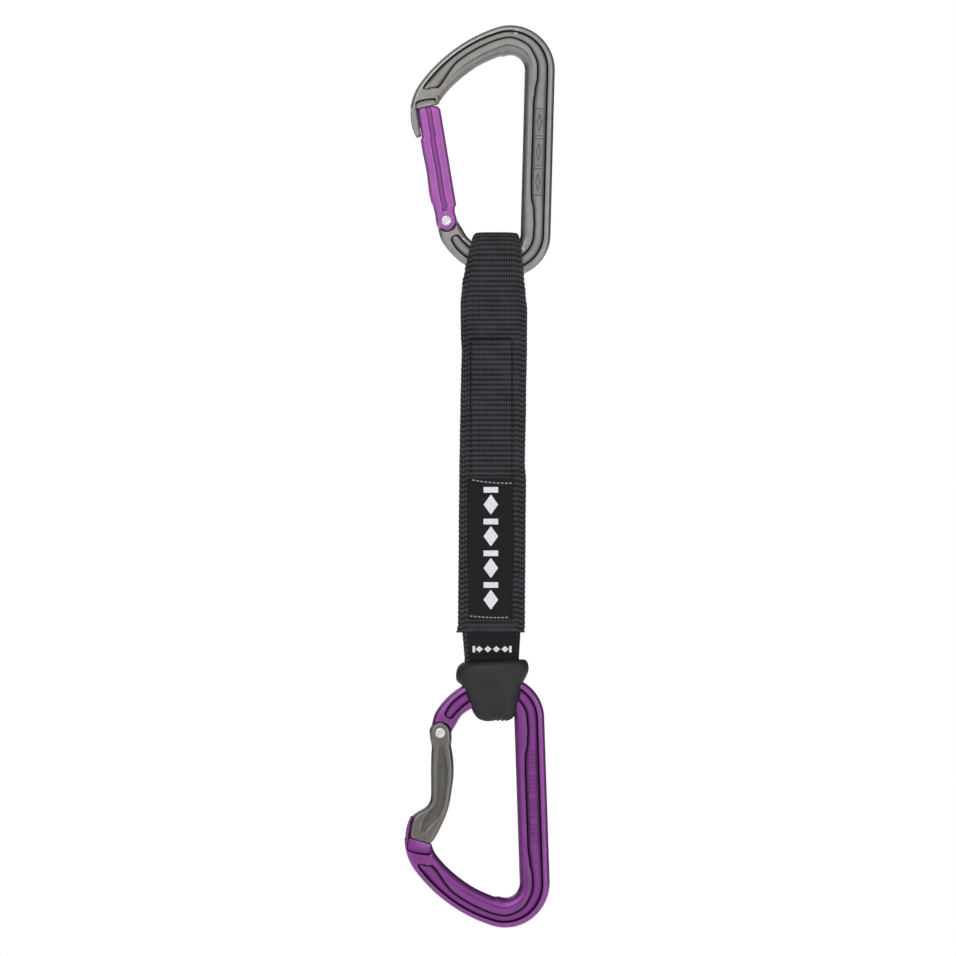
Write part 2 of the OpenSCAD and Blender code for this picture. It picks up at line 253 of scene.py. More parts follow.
def mix(tree, fac, a, b, blend="MIX"):
    n = add_node(tree, "ShaderNodeMix", data_type="RGBA", blend_type=blend)
    sockets = [s for s in n.inputs if s.enabled]
    for socket, value in zip(sockets, (fac, a, b)):
        if hasattr(value, "is_output"):
            tree.links.new(value, socket)
        elif isinstance(value, (int, float)):
            socket.default_value = value
        else:
            socket.default_value = (*value, 1)
    return next(s for s in n.outputs if s.enabled)


def maths(tree, operation, a, b=0.0):
    n = add_node(tree, "ShaderNodeMath", operation=operation)
    for socket, value in zip(n.inputs, (a, b)):
        if hasattr(value, "is_output"):
            tree.links.new(value, socket)
        else:
            socket.default_value = value
    return n.outputs[0]


def bump(tree, shader, height, distance, strength=1.0, normal=None):
    n = add_node(tree, "ShaderNodeBump", Strength=strength, Distance=distance)
    tree.links.new(height, n.inputs["Height"])
    if normal is not None:
        tree.links.new(normal, n.inputs["Normal"])
    tree.links.new(n.outputs["Normal"], shader.inputs["Normal"])
    return n.outputs["Normal"]


def noise(tree, scale, size, detail=3.0):
    n = add_node(tree, "ShaderNodeTexNoise", Scale=size, Detail=detail)
    tree.links.new(coordinates(tree, scale), n.inputs["Vector"])
    return n.outputs["Fac"]


def anodised(name, colour, dark, light, rough=0.34, metal=0.85):
    """Anodised forged aluminium, painted darker in its hollows and along marked lines as shade, and lighter on
    convex edges as a painted highlight.
    """
    material, tree, shader = new_material(name)
    shape = add_node(tree, "ShaderNodeNewGeometry").outputs["Pointiness"]
    # painted shade in concave places and a painted highlight on convex edges, by Pointiness
    painted_shade_and_highlight = ramp(tree, shape, [(0.44, dark), (0.495, colour), (0.51, colour), (0.58, light)])
    # the line attribute paints near-black shade along grooves and recess walls
    painted_shade_lines = add_node(tree, "ShaderNodeAttribute", attribute_name="line").outputs["Fac"]
    painted_shade_and_highlight = mix(tree, painted_shade_lines, painted_shade_and_highlight, tuple(0.12 * v for v in dark))
    mottle = noise(tree, (1, 1, 1), 260, 5)
    tone = ramp(tree, mottle, [(0.3, (0.86, 0.86, 0.86)), (0.7, (1.0, 1.0, 1.0))])
    tree.links.new(mix(tree, 1.0, painted_shade_and_highlight, tone, "MULTIPLY"), shader.inputs["Base Color"])
    shader.inputs["Metallic"].default_value = metal
    grain = noise(tree, (1, 1, 1), 5200, 2)
    rough_map = ramp(tree, grain, [(0.3, (rough - 0.05,) * 3), (0.7, (rough + 0.07,) * 3)])
    tree.links.new(rough_map, shader.inputs["Roughness"])
    bump(tree, shader, grain, 0.00003, 0.5)
    return material


def bright_steel(name):
    material, tree, shader = new_material(name)
    turned = noise(tree, (1, 1, 1), 3800, 3)
    tree.links.new(ramp(tree, turned, [(0.3, (0.52, 0.51, 0.53)), (0.7, (0.7, 0.69, 0.71))]),
                   shader.inputs["Base Color"])
    shader.inputs["Metallic"].default_value = 0.9
    shader.inputs["Roughness"].default_value = 0.3
    bump(tree, shader, turned, 0.00002, 0.5)
    return material


def webbing_cloth(name, warp, rib, colour_low, colour_high):
    """Ribbed webbing: cross ribs of upright yarns, painted darker as shade in the rib valleys and between yarns,
    with random patches of tone. warp and rib are pitches in metres.
    """
    material, tree, shader = new_material(name)
    source = add_node(tree, "ShaderNodeAttribute", attribute_name="cloth")
    split = add_node(tree, "ShaderNodeSeparateXYZ")
    tree.links.new(source.outputs["Vector"], split.inputs[0])
    across, along = split.outputs[0], split.outputs[1]
    rib_angle = maths(tree, "MULTIPLY", along, math.pi / rib)
    rib_crest = maths(tree, "ABSOLUTE", maths(tree, "SINE", rib_angle))
    yarn_angle = maths(tree, "MULTIPLY", across, math.pi / warp)
    yarn = maths(tree, "ABSOLUTE", maths(tree, "SINE", yarn_angle))
    fibre = noise(tree, (1, 1, 1), 2300, 4)
    patch = noise(tree, (1, 1, 1), 140, 3)
    height = maths(tree, "ADD", maths(tree, "MULTIPLY", yarn, 0.5), maths(tree, "MULTIPLY", fibre, 0.4))
    crest = maths(tree, "ADD", maths(tree, "MULTIPLY", rib_crest, 0.8), 0.2)
    height = maths(tree, "MULTIPLY", height, crest)
    shift = maths(tree, "MULTIPLY", maths(tree, "SUBTRACT", patch, 0.5), 0.35)
    # colour darker where ribs and yarns dip, as painted shade, plus random patches of tone
    tone = maths(tree, "ADD", height, shift)
    painted_shade_and_tone = ramp(tree, tone, [(0.12, colour_low), (0.62, colour_high)])
    tree.links.new(painted_shade_and_tone, shader.inputs["Base Color"])
    shader.inputs["Roughness"].default_value = 0.85
    shader.inputs["Specular IOR Level"].default_value = 0.2
    shader.inputs["Sheen Weight"].default_value = 0.06
    shader.inputs["Sheen Roughness"].default_value = 0.5
    bump(tree, shader, height, 0.0003, 0.8)
    return material


def plain_cloth(name, colour, pitch, rough=0.7, sheen=0.2):
    """Fine satin or thread, with a small twill line."""
    material, tree, shader = new_material(name)
    wave = add_node(tree, "ShaderNodeTexWave", Scale=0.628 / pitch, Distortion=0.6)
    tree.links.new(coordinates(tree, (1, 1, 1)), wave.inputs["Vector"])
    wave.bands_direction = "DIAGONAL"
    fibre = noise(tree, (1, 1, 1), 1900, 4)
    both = maths(tree, "ADD", maths(tree, "MULTIPLY", wave.outputs["Fac"], 0.5),
                 maths(tree, "MULTIPLY", fibre, 0.5))
    low = tuple(c * 0.6 for c in colour)
    high = tuple(min(c * 1.3, 1) for c in colour)
    tree.links.new(ramp(tree, both, [(0.25, low), (0.75, high)]), shader.inputs["Base Color"])
    shader.inputs["Roughness"].default_value = rough
    shader.inputs["Sheen Weight"].default_value = sheen
    shader.inputs["Specular IOR Level"].default_value = 0.25
    bump(tree, shader, both, 0.00008, 0.6)
    return material


def moulded_rubber(name, colour):
    material, tree, shader = new_material(name)
    # random lighter and darker patches over the rubber
    blotches = noise(tree, (1, 1, 1), 120, 5)
    low = tuple(c * 0.75 for c in colour)
    high = tuple(c * 1.3 for c in colour)
    tree.links.new(ramp(tree, blotches, [(0.3, low), (0.7, high)]), shader.inputs["Base Color"])
    grain = noise(tree, (1, 1, 1), 2400, 2)
    shader.inputs["Roughness"].default_value = 0.52
    shader.inputs["Specular IOR Level"].default_value = 0.32
    bump(tree, shader, grain, 0.00005, 0.5)
    return material


GREY_METAL = anodised("grey_anodised", (0.262, 0.252, 0.243), (0.03, 0.028, 0.026), (0.5, 0.485, 0.47))
PURPLE_METAL = anodised("purple_anodised", (0.235, 0.055, 0.27), (0.03, 0.004, 0.035), (0.45, 0.17, 0.5))
GATE_PURPLE = anodised("gate_purple", (0.35, 0.093, 0.375), (0.08, 0.012, 0.09), (0.56, 0.23, 0.58), 0.4, 0.6)
GATE_GREY = anodised("gate_grey", (0.152, 0.143, 0.136), (0.02, 0.019, 0.018), (0.40, 0.385, 0.37))
STEEL = bright_steel("rivet_steel")
INNER_STEEL = bright_steel("inner_steel")
WEBBING = webbing_cloth("charcoal_webbing", 0.00096, 0.00197, (0.003, 0.003, 0.0042), (0.052, 0.051, 0.059))
DARK_THREAD = plain_cloth("dark_thread", (0.0055, 0.0055, 0.0065), 0.0004, 0.8, 0.0)
LIGHT_THREAD = plain_cloth("light_thread", (0.30, 0.30, 0.315), 0.0004)
LABEL_CLOTH = plain_cloth("label_cloth", (0.0052, 0.0049, 0.0063), 0.00035, 0.75, 0.0)
LABEL_WHITE = plain_cloth("label_white", (0.72, 0.72, 0.76), 0.00035, 0.6, 0.1)
RUBBER = moulded_rubber("keeper_rubber", (0.0165, 0.0162, 0.0185))


# ---------------------------------------------------------------- carabiner frame

SPINE_X, SPINE_TOP, SPINE_END = 17.7, -6.1, -70.1
CROWN_R, CROWN_END = 17.1, 110
SHOULDER_R, SHOULDER_END = 60.3, 145
NOSE_R, NOSE_END = 20.3, 209
BASE_R, BASE_END = 16.3, -83.2
HEEL_R, HEEL_START = 28.4, -158.4
GATE_LEAN = 11

crown_c = (SPINE_X - CROWN_R, SPINE_TOP)
shoulder_c = polar(crown_c, CROWN_R - SHOULDER_R, CROWN_END)
nose_c = polar(shoulder_c, SHOULDER_R - NOSE_R, SHOULDER_END)
base_c = (SPINE_X - BASE_R, SPINE_END)
heel_c = polar(base_c, BASE_R - HEEL_R, BASE_END)

WIDE = 11.3   # width of the bar at the spine and the seats
CHANNEL = 1.1   # depth of the channel forged into each face
WALL = 0.3      # half the width of its sloping sides

# Each stretch of the bar: knots of (place, value) for its width, its half depth, and
# the channel's near wall, far wall, depth and the crease where the inner rail starts.
# fold sets how dark the painted shade is along that crease.
HEEL = dict(
    width=[(-160, 8.6), (-148, 8.9), (-135, 8.6), (-123, 9.0), (-110, 10.6), (-97, 11.6)],
    half=[(-160, 4.6), (-120, 4.8)],
    near=[(-146, 3.0), (-134, 2.4)],
    far=[(-146, 6.2), (-134, 6.3), (-110, 6.2)],
    crease=[(-150, 6.9), (-110, 8.3)],
    fold=[(0, 0.1)],
    open=[(-146.5, 0), (-142, 1)],
)
BASE = dict(
    width=[(-83, 11.6), (-50, WIDE)],
    half=[(-83, 4.8), (0, 4.7)],
    near=[(-83, 2.5)],
    far=[(-83, 6.2), (-30, 6.4)],
    crease=[(-83, 8.4)],
    fold=[(0, 0.3)],
    open=[(-83, 1)],
)
SPINE = dict(
    width=[(-70, WIDE)],
    half=[(-70, 4.7), (-58, 4.4), (-18, 4.4), (-6, 4.7)],
    near=[(-70, 2.5)],
    far=[(-70, 6.4), (-66, 6.2), (-61, 6.5), (-55, 7.6), (-50, 7.8), (-19, 7.7), (-14, 7.2), (-9, 6.4)],
    crease=[(-70, 8.6), (-55, 9.2), (-20, 9.2), (-8, 8.6)],
    fold=[(-60, 0.3), (-50, 0.05), (-20, 0.05), (-6, 0.5)],
    open=[(-70, 1)],
)
CROWN = dict(
    width=[(0, WIDE)],
    half=[(0, 4.7), (50, 4.8)],
    near=[(0, 2.5), (60, 2.3), (110, 2.1)],
    far=[(0, 6.4), (30, 6.2), (60, 5.4), (95, 4.8)],
    crease=[(0, 8.6), (60, 8.1), (100, 7.6)],
    fold=[(0, 0.6)],
    open=[(0, 1)],
)
SHOULDER = dict(
    width=[(110.4, WIDE), (113.2, 10.6), (125, 10.3), (145, 10)],
    half=[(110, 4.8), (145, 4.6)],
    near=[(110, 2.1), (120, 1.9)],
    far=[(110, 4.7), (128, 4.6), (141.6, 6.6), (142.4, 6.5), (145, 4.1)],
    crease=[(110, 7.6), (145, 7.2)],
    fold=[(125, 0.6), (136, 0)],
    open=[(110, 1)],
)
NOSE = dict(
    width=[(145, 10)],
    half=[(145, 4.6), (160, 4.5)],
    near=[(145, 1.9), (149, 2.1)],
    far=[(145, 4.1), (150.2, 2.6)],
    crease=[(145, 7.2), (151, 8.4)],
    fold=[(145, 0)],
    open=[(148.2, 1), (149.8, 0)],
)


def station(outer, inner, place, form):
    values = {key: blend_between(knots, place) for key, knots in form.items()}
    values["width"] = math.dist(outer, inner)
    return dict(outer=outer, inner=inner, **values)


def arc_stations(c, r, a0, a1, n, form, skew=None, trim=None):
    """Stations along an arc.

    skew turns the inner end back, in degrees, and trim draws the outer end in.
    """
    made = []
    for a in spread(a0, a1, n):
        back = blend_between(skew, a) if skew else 0
        drawn = blend_between(trim, a) if trim else 0
        inner = polar(c, r - blend_between(form["width"], a), a - back)
        made.append(station(polar(c, r - drawn, a), inner, a, form))
    return made


def lip_stations(edge, start):
    """The thin lip of the nose, outside the gate's edge."""
    ex = (math.cos(math.radians(GATE_LEAN)), math.sin(math.radians(GATE_LEAN)))
    base = (nose_c[0] - HINGE[0]) * ex[0] + (nose_c[1] - HINGE[1]) * ex[1]
    made = []
    for a in spread(start, NOSE_END, 30):
        d = polar((0, 0), 1, a)
        r_in = (-edge - 0.1 - base) / (d[0] * ex[0] + d[1] * ex[1])
        end = smooth((a - NOSE_END + 2.5) / 2.5)
        r_out = NOSE_R - 0.35 * end
        r_in = min(r_in, r_out - 0.9)
        made.append(dict(
            outer=polar(nose_c, r_out, a), inner=polar(nose_c, r_in, a),
            width=r_out - r_in, half=4.3 - 0.9 * end, near=2, far=5, crease=7,
            fold=0, open=0, lip=True,
        ))
    return made


def section(st):
    """Loop of (point, mark) round the bar at one station. The mark is where painted shade darkens the bar."""
    w = st["width"]
    k = w / 10 if st.get("lip") else 1
    half, crease = st["half"], st["crease"] * k
    middle, reach = (st["near"] + st["far"]) / 2 * k, (st["far"] - st["near"]) / 2 * k
    edge = 1.5 * k
    wall = WALL * k
    reach = max(reach * math.sqrt(1 - (1 - st["open"]) ** 2), wall * 1.1)
    near, far = middle - reach, middle + reach
    deep = CHANNEL * smooth(st["open"] / 0.12)
    core = half * 0.7 if st.get("lip") else 0.9
    grid = [edge * (1 - math.cos(math.radians(a))) for a in spread(0, 90, 5)]
    grid += spread(near - wall, near + wall, 4)
    grid += spread(near + wall, far - wall, 4)[1:-1]
    grid += spread(far - wall, far + wall, 4)
    grid += [far + wall + (crease - far - wall) * t for t in (0.5, 0.86, 1)]
    grid += [crease + (w - crease) * math.sin(math.radians(a)) for a in spread(0, 90, 8)[1:]]
    # painted shade on both walls of the channel, and fold's painted shade at the crease
    marks = [0] * 6 + [0.5, 1, 1, 1, 0.5] + [0] * 3 + [0.5, 1, 1, 1, 0.5] + [0, 0, st["fold"]] + [0] * 8
    marks = [m * (min(deep * 3, 1) if 5 < i < 19 else 1) for i, m in enumerate(marks)]

    def height(s):
        z = half
        if s < edge:
            z -= edge * (1 - math.sqrt(max(0, 1 - ((edge - s) / edge) ** 2)))
        if s > crease:
            t = min((s - crease) / (w - crease), 1)
            z -= 0.12 + (half - core - 0.12) * (1 - math.sqrt(max(0, 1 - t * t)))
        inside = smooth((s - near + wall) / (2 * wall)) * smooth((far + wall - s) / (2 * wall))
        return z - deep * inside

    def at(s, z):
        t = s / w
        o, i = st["outer"], st["inner"]
        return (o[0] + (i[0] - o[0]) * t, o[1] + (i[1] - o[1]) * t, z)

    front = [(at(s, height(s)), m) for s, m in zip(grid, marks)]
    back = [(at(s, -height(s)), m) for s, m in zip(reversed(grid), reversed(marks))]
    crown = [(at(-0.22 * k, -half * 0.38), 0), (at(-0.32 * k, 0), 0), (at(-0.22 * k, half * 0.38), 0)]
    return front + [(at(w + 0.08 * k, 0), 0)] + back + crown


def prism(outline, z0, z1):
    """Points and faces of a flat plate with this outline."""
    loops = [[(x, y, z) for x, y in outline] for z in (z0, z1)]
    return loft(loops)


def ring_sector(c, r0, r1, a0, a1, n=12):
    return [polar(c, r1, a) for a in spread(a0, a1, n)] + [polar(c, r0, a) for a in spread(a1, a0, n)]


def disc(c, r, n=48):
    return [polar(c, r, a) for a in spread(0, 360, n)[:-1]]


def gate_plane(x, y, lean=GATE_LEAN):
    """A point of the gate's own plane, hinge at its origin, in the frame's plane."""
    a = math.radians(lean)
    return (HINGE[0] + x * math.cos(a) - y * math.sin(a), HINGE[1] + x * math.sin(a) + y * math.cos(a))


CAM_E, CAM_Y, CAM_TURN = 1.2, 3.4, 40


def cam_outline(lean):
    """The tongue's cam, an involute that lifts the plunger as the gate opens."""
    outline = [(0, 0), (0, 3.2)]
    for a in spread(-3, CAM_TURN, 14):
        t = math.radians(a)
        lift = CAM_Y + CAM_E * t
        outline.append((CAM_E * math.cos(t) + lift * math.sin(t), lift * math.cos(t) - CAM_E * math.sin(t)))
    outline.append((3.2, 0.4))
    return [gate_plane(x, y, lean) for x, y in outline]


def placed(part, place):
    points, faces = part
    return [place(p) for p in points], faces


def angle_about(c, p):
    return math.degrees(math.atan2(p[1] - c[1], p[0] - c[0])) % 360


def nose_recess(edge):
    """The sunk web beside the slot, as the solid to cut from the front face. Its marks paint shade on the cut
    walls, darkest along the shoulder.
    """
    outline = [(-edge - 0.4, 40), (-edge - 0.4, 46.9), (-edge + 0.4, 47.5), (-2.3, 47.85), (0, 47.98),
               (3.2, 47.7), (3.7, 47.2), (3.9, 40)]
    middle = (-0.4, 43)
    loops, marks = [], []
    for grow, z, mark in ((0.88, 3.1, 0), (0.91, 3.1, 1), (1.02, 4.2, 1), (1.05, 5.6, 1)):
        loops.append([
            (*gate_plane(middle[0] + (x - middle[0]) * grow, middle[1] + (y - middle[1]) * grow), z)
            for x, y in outline
        ])
        marks += [mark * (1.0 if y > 46 else 0.35) for _, y in outline]
    return loft(loops), marks


def carabiner_frame(name, place, material, cam_lean, edge, tip):
    """tip is the line of the gate's end, where the full nose stops."""
    end_out, end_in = (angle_about(nose_c, p) for p in tip)
    skew = [(146, 0), (end_out, end_out - end_in)]
    stations = arc_stations(heel_c, HEEL_R, HEEL_START, BASE_END, 100, HEEL, trim=[(HEEL_START, 0.75), (-147, 0)])
    stations += arc_stations(base_c, BASE_R, BASE_END, 0, 44, BASE)[1:]
    for y in spread(SPINE_END, SPINE_TOP, 64)[1:]:
        stations.append(station((SPINE_X, y), (SPINE_X - WIDE, y), y, SPINE))
    stations += arc_stations(crown_c, CROWN_R, 0, CROWN_END, 56, CROWN)[1:]
    stations += arc_stations(shoulder_c, SHOULDER_R, CROWN_END, SHOULDER_END, 84, SHOULDER)[1:]
    stations += arc_stations(nose_c, NOSE_R, SHOULDER_END, end_out, 60, NOSE, skew)[1:]
    stations += lip_stations(edge, end_out + 0.3)
    sections = [section(st) for st in stations]
    # line marks paint shade along the channel walls and the crease
    marks = {"line": [float(m) for loop in sections for _, m in loop]}
    solid = loft([[p for p, _ in loop] for loop in sections])
    piece = mesh_piece(name, *placed(solid, place), [material], marks=marks)

    # room for the gate's ears each side of the tongue, and the sunk web each side of the nose
    recess, recess_marks = nose_recess(edge)
    for face in (1, -1):
        slot = prism(disc(HINGE, 4.5, 64), 1.72 * face, 9 * face)
        tool = mesh_piece("tool", *placed(slot, place), [material])
        boolean(piece, tool, "DIFFERENCE")
        flipped = [(x, y, z * face) for x, y, z in recess[0]], recess[1]
        # the recess carries its painted shade onto the walls it cuts
        tool = mesh_piece("tool", *placed(flipped, place), [material], marks={"line": recess_marks})
        boolean(piece, tool, "DIFFERENCE")

    # tongue, cam and keylock key
    plates = [
        (disc(HINGE, 3.2), 1.68),
        (cam_outline(cam_lean), 1.66),
        (ring_sector(heel_c, 20.4, 27.6, -164, -140), 1.7),
        (ring_sector(nose_c, 13.5, 19.9, 152, 199), 1.5),
        (ring_sector(nose_c, 13.6, 19.8, 183, 198.6), 2.5),
    ]
    for outline, half in plates:
        tool = mesh_piece("tool", *placed(prism(outline, -half, half), place), [material])
        boolean(piece, tool, "UNION")
    return piece


# ---------------------------------------------------------------- gates

def gate_section(left, right, half, groove, round_w=1.6, core=0.55):
    """Closed loop of a gate between two points, with a groove of (centre, width, depth)."""
    w = math.dist(left, right)
    r = min(round_w, w * 0.3)
    centre, wide, deep = groove
    c = w * centre
    g = min(wide / 2, (w / 2 - r) * 0.72)
    wall = min(0.22, g * 0.34)
    grid = [r * (1 - math.cos(math.radians(a))) for a in spread(0, 90, 6)]
    grid += spread(r, c - g - wall, 3)[1:]
    grid += spread(c - g - wall, c - g + wall, 3)[1:]
    grid += spread(c - g + wall, c + g - wall, 2)[1:]
    grid += spread(c + g - wall, c + g + wall, 3)[1:]
    grid += spread(c + g + wall, w - r, 3)[1:]
    grid += [w - r + r * math.sin(math.radians(a)) for a in spread(0, 90, 6)[1:]]

    def height(s):
        t = max((r - s) / r, (s - w + r) / r, 0)
        z = half - half * core * (1 - math.sqrt(max(0, 1 - t * t)))
        inside = smooth((s - c + g + wall) / (2 * wall)) * smooth((c + g + wall - s) / (2 * wall))
        return z - deep * inside

    def at(s, z):
        t = s / w
        return (left[0] + (right[0] - left[0]) * t, left[1] + (right[1] - left[1]) * t, z)

    front = [at(s, height(s)) for s in grid]
    back = [at(s, -height(s)) for s in reversed(grid)]
    return front + [at(w, 0)] + back + [at(0, 0)]


GATE_HALF = 4.3


def round_foot(r, lean, groove):
    """Sections of a gate's round hinge end, from its tip up to the hinge."""
    loops = []
    for a in spread(8, 84, 9):
        x, y = r * math.sin(math.radians(a)), -r * math.cos(math.radians(a))
        half = GATE_HALF - 0.7 * (1 - math.sin(math.radians(a))) ** 1.5
        loops.append(gate_section(gate_plane(-x, y, lean), gate_plane(x, y, lean), half, groove))
    return loops


def straight_gate_loops(length):
    left = [(0, -4.05), (3, -3.95), (6.5, -4.15), (8.3, -4.65), (11, -4.85), (20, -4.5), (30, -4.75),
            (32.7, -4.75), (33.4, -4.15), (45, -4.1)]
    right = [(0, 4.1), (2.9, 3.8), (4.3, 3.95), (5.7, 4.8), (42, 4.85)]
    corner = 2.4
    loops = round_foot(4.1, GATE_LEAN, (0.5, 1.9, 0))
    ys = spread(0, 8, 18) + spread(8, length - corner, 60)[1:]
    ys += [length - corner + corner * math.sin(math.radians(a)) for a in spread(0, 88, 9)[1:]]
    for y in ys:
        over = max(y - length + corner, 0) / corner
        round_off = 1 - math.sqrt(max(0, 1 - over * over))
        x0 = blend_between(left, y) + 0.9 * round_off
        x1 = blend_between(right, y) - corner * round_off
        half = GATE_HALF - 0.9 * round_off
        deep = 0.5 * smooth((y - 3.1) / 1.2)
        loops.append(gate_section(gate_plane(x0, y), gate_plane(x1, y), half, (0.5, 1.9, deep)))
    return loops


# Left and right edges of the bent gate, in pairs from the hinge to the tip
BENT_EDGES = [
    ((-4.15, 0), (4.3, 0)), ((-3.9, 2.8), (4.35, 2.6)), ((-3.5, 5.2), (4.05, 5.4)),
    ((-3.8, 9), (4.5, 8.8)), ((-4.05, 14), (4.75, 13)), ((-4.2, 19), (4.5, 18)),
    ((-4.35, 23.6), (3.7, 22.8)), ((-4.8, 26.4), (2.9, 27)), ((-5.9, 28.3), (1.9, 30.4)),
    ((-7.6, 29.6), (0.7, 33.4)), ((-9.6, 30.6), (-0.6, 36)), ((-11.3, 31.7), (-1.9, 38.5)),
    ((-12.3, 33.6), (-3.0, 40.4)), ((-12.95, 36), (-3.9, 41.7)), ((-13.35, 38.2), (-4.6, 42.5)),
    ((-13.5, 40.0), (-5.2, 43.0)),
]


def bent_gate_loops():
    def smooth_at(k, t, side):
        ps = [BENT_EDGES[min(max(k + d, 0), len(BENT_EDGES) - 1)][side] for d in (-1, 0, 1, 2)]
        return tuple(
            0.5 * (2 * b + (c - a) * t + (2 * a - 5 * b + 4 * c - d) * t * t + (3 * b - a - 3 * c + d) * t ** 3)
            for a, b, c, d in zip(*ps)
        )

    loops = round_foot(4.25, 0, (0.5, 2, 0))
    steps = 5
    count = len(BENT_EDGES) - 1
    for i in range(count * steps + 1):
        k, t = min(divmod(i, steps), (count - 1, steps))
        t = (i - k * steps) / steps
        left, right = smooth_at(k, t, 0), smooth_at(k, t, 1)
        end = max(i / steps - count + 1, 0)
        half = GATE_HALF - 0.5 * end ** 3
        place = i / steps
        deep = 0.34 * smooth((place - 1.4) / 1.0) * smooth((count - 1.4 - place) / 1.4)
        wide = 2.2 + 2.0 * smooth((place - 2) / 2.5) * smooth((count - 2.5 - place) / 3)
        loops.append(gate_section(gate_plane(*left, 0), gate_plane(*right, 0), half, (0.5, wide, deep)))
    return loops


def gate(name, loops, place, material, lean):
    piece = mesh_piece(name, *placed(loft(loops), place), [material])
    slot = [gate_plane(x, y, lean) for x, y in ((-9, -9), (9, -9), (9, 5.1), (-9, 5.1))]
    inner = nose_c[0] - NOSE_R + 7.9
    top, low = nose_c[1] + 0.25, nose_c[1] - 8.8
    cuts = [
        (slot, 1.9),
        ([(inner - 16, low), (inner, low), (inner, low + 20), (inner - 16, low + 20)], 1.75),
        ([(inner - 16, low), (inner, low), (inner, top), (inner - 16, top)], 2.75),
    ]
    for outline, half in cuts:
        tool = mesh_piece("tool", *placed(prism(outline, -half, half), place), [material])
        boolean(piece, tool, "DIFFERENCE")
    return piece


def rivet(name, place):
    """Peened rivet: a shaft and two low domed heads."""
    profile = [(1.3, 0), (1.3, 3.9), (1.95, 4.2), (2.0, 4.35), (1.98, 4.5), (1.8, 4.68), (1.4, 4.8),
               (1.25, 4.8), (1.05, 4.74), (0.5, 4.78), (0.12, 4.8)]
    heights = [(r, -z) for r, z in reversed(profile)] + profile[1:]
    loops = [[(*polar(HINGE, r, a), z) for a in spread(0, 360, 40)[:-1]] for r, z in heights]
    return mesh_piece(name, *placed(loft(loops), place), [STEEL], 30)


def raised_panel(outline, base, height, rim):
    """A plate standing on the channel's floor, with painted shade round its rim."""
    cx = sum(x for x, _ in outline) / len(outline)
    cy = sum(y for _, y in outline) / len(outline)
    reach = min(math.dist((cx, cy), p) for p in outline)
    loops, marks = [], []
    top = base + height
    for inward, z, mark in ((0, base, 1.0), (0, top, 1.0), (0.6, top, 0.9), (1, top, 0.2)):
        k = inward * rim / reach
        loops.append([(x + (cx - x) * k, y + (cy - y) * k, z) for x, y in outline])
        marks += [mark] * len(outline)
    return loft(loops), marks


def rectangle(x0, x1, y0, y1, corner=0.25):
    return [(x0 + corner, y0), (x1 - corner, y0), (x1, y0 + corner), (x1, y1 - corner),
            (x1 - corner, y1), (x0 + corner, y1), (x0, y1 - corner), (x0, y0 + corner)]


def spine_marks(side):
    """Plain raised shapes on the spine: framed lozenges, or two rows of dashes."""
    shapes = []
    if side == "upper":
        for y in (-26.4, -38.0, -49.6):
            shapes.append(raised_panel(rectangle(10.9, 14.1, y - 5.4, y + 5.4), 3.2, 0.14, 0.3))
            lozenge = [(11.5, y), (12.5, y - 3.6), (13.5, y), (12.5, y + 3.6)]
            shapes.append(raised_panel(lozenge, 3.3, 0.12, 0.3))
    else:
        for i, y in enumerate(spread(-57.5, -22.5, 22)):
            if i % 6 != 5:
                for x in (11.2, 13.0):
                    shapes.append(raised_panel(rectangle(x, x + 1.3, y, y + 0.95, 0.15), 3.2, 0.18, 0.2))
    return join_parts([part for part, _ in shapes]), [m for _, marks in shapes for m in marks]


def build_carabiners():
    made = {}
    upper_tip = [gate_plane(x, 45.3) for x in (-4.75, 4.75)]
    lower_tip = [gate_plane(-13.6, 40.8, 0), gate_plane(-4.9, 43.5, 0)]
    for side, place, metal, gate_metal, edge, tip, lean in (
        ("upper", stand_upper, GREY_METAL, GATE_PURPLE, 4.1, upper_tip, GATE_LEAN),
        ("lower", stand_lower, PURPLE_METAL, GATE_GREY, 5.5, lower_tip, 0),
    ):
        body = carabiner_frame(side + "_frame_visual", place, metal, lean, edge, tip)
        loops = straight_gate_loops(45) if side == "upper" else bent_gate_loops()
        lever = gate(side + "_gate_visual", loops, place, gate_metal, lean)
        pin = rivet(side + "_rivet_visual", place)
        (points, faces), marks = spine_marks(side)
        # the raised shapes carry painted shade round their rims
        shapes = mesh_piece(side + "_spine_marks", *placed((points, faces), place), [metal],
                            30, {"line": marks})
        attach(shapes, side + "_carabiner")
        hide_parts(side + "_frame")
        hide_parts(side + "_gate")
        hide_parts(side + "_rivet")
        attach(body, side + "_carabiner")
        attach(lever, side + "_gate")
        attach(pin, side + "_gate")
        for inner in ("_plunger", "_spring"):
            slots = frame["nodes"][side + inner].material_slots
            for s in slots:
                s.material = INNER_STEEL
        made[side] = body
    return made


build_carabiners()


# ---------------------------------------------------------------- sling

WEB_T = 2.2
PLY_GAP = 0.3
MID_Y = PLY_GAP + WEB_T / 2
RIB = 1.97
SHIFT = 0.3 * RIB
BAR_Z = -80.5
LOOP_R = 7.6 + WEB_T / 2
LOOP_RISE = LOOP_R + 1.2
HEM_Z = -225.4
JOIN_Z = -110.5

# Left and right selvedge of the sling, by height
WEB_LEFT = [(-225.6, -20.2), (-222, -19.6), (-185, -19.3), (-163, -19.1), (-150, -18.9), (-136, -18.65),
            (-125, -18.4), (-116, -18.15), (-109, -18.5), (-98, -18.6), (-90, -18.0), (-84, -16.9),
            (-79, -15.9), (-75, -14.9), (-71.6, -14.1), (-69.6, -12.6)]
WEB_RIGHT = [(-225.6, 5.7), (-222, 5.9), (-185, 6.15), (-166, 6.35), (-160, 5.9), (-135, 6.35), (-112, 6.7),
             (-100, 6.75), (-93, 6.1), (-87, 5.5), (-78, 4.7), (-74, 4.35), (-70.3, 3.5), (-69.3, 2.4)]


